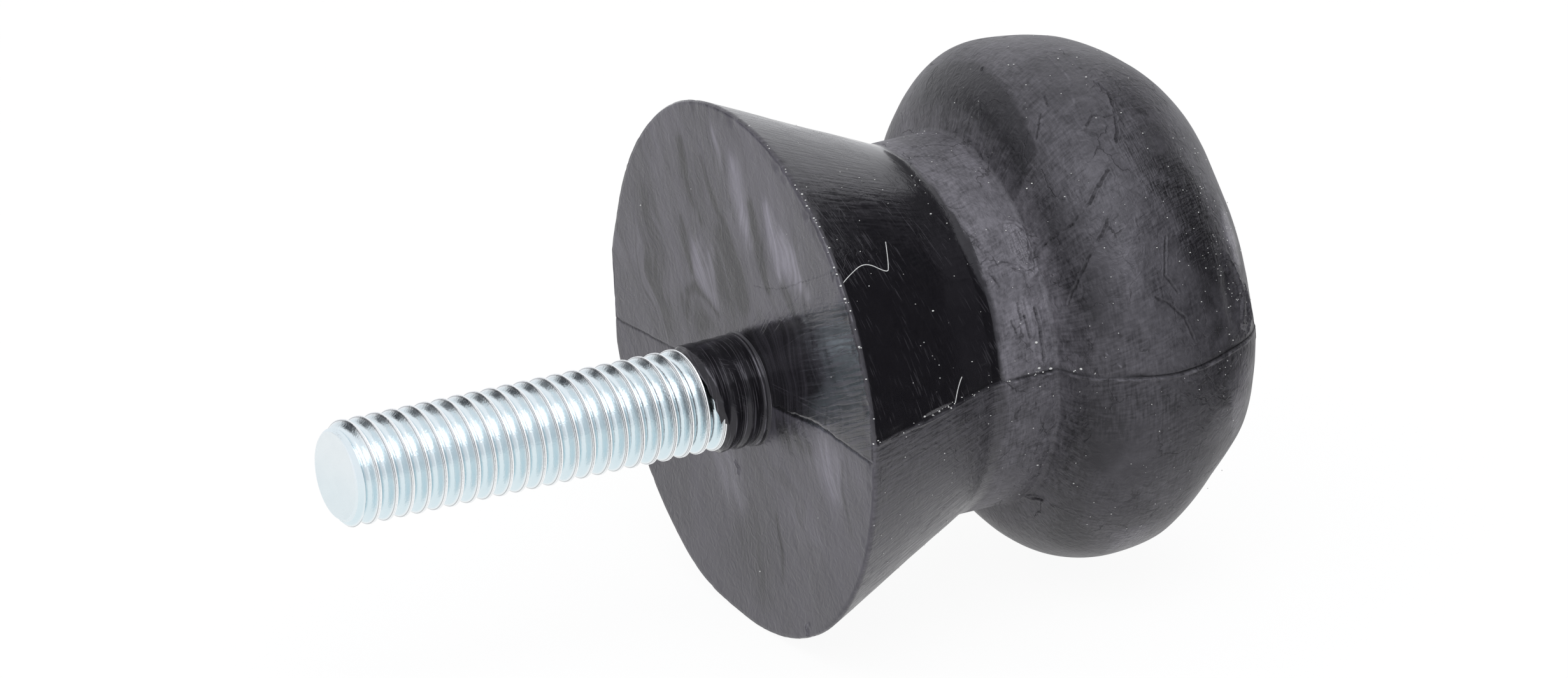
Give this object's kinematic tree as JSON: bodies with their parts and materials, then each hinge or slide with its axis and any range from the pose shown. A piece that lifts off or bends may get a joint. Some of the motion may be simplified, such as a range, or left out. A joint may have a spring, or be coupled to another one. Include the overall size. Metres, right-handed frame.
{
  "type": "rubber buffer",
  "caption": "Moulded rubber buffer with a flat seat, a cone narrowing to a waist and a round snap-in head, on a threaded steel stud.",
  "frame": {"origin": "middle of the flat seat face, on the centre line of the rubber body", "axes": "+X along the body's centre line from the seat face to the round head, so the stud points along -X; the mould parts in the XY plane, with +Z on its upper half"},
  "size_m": [0.0511, 0.0302, 0.0298],
  "materials": {
    "rubber": "satin black moulded rubber with flow marks and a parting line",
    "zinc_steel": "bright blue-white zinc plating"
  },
  "bodies": {
    "root": {"rubber_body": "rubber", "threaded_stud": "zinc_steel"}
  },
  "joints": []
}
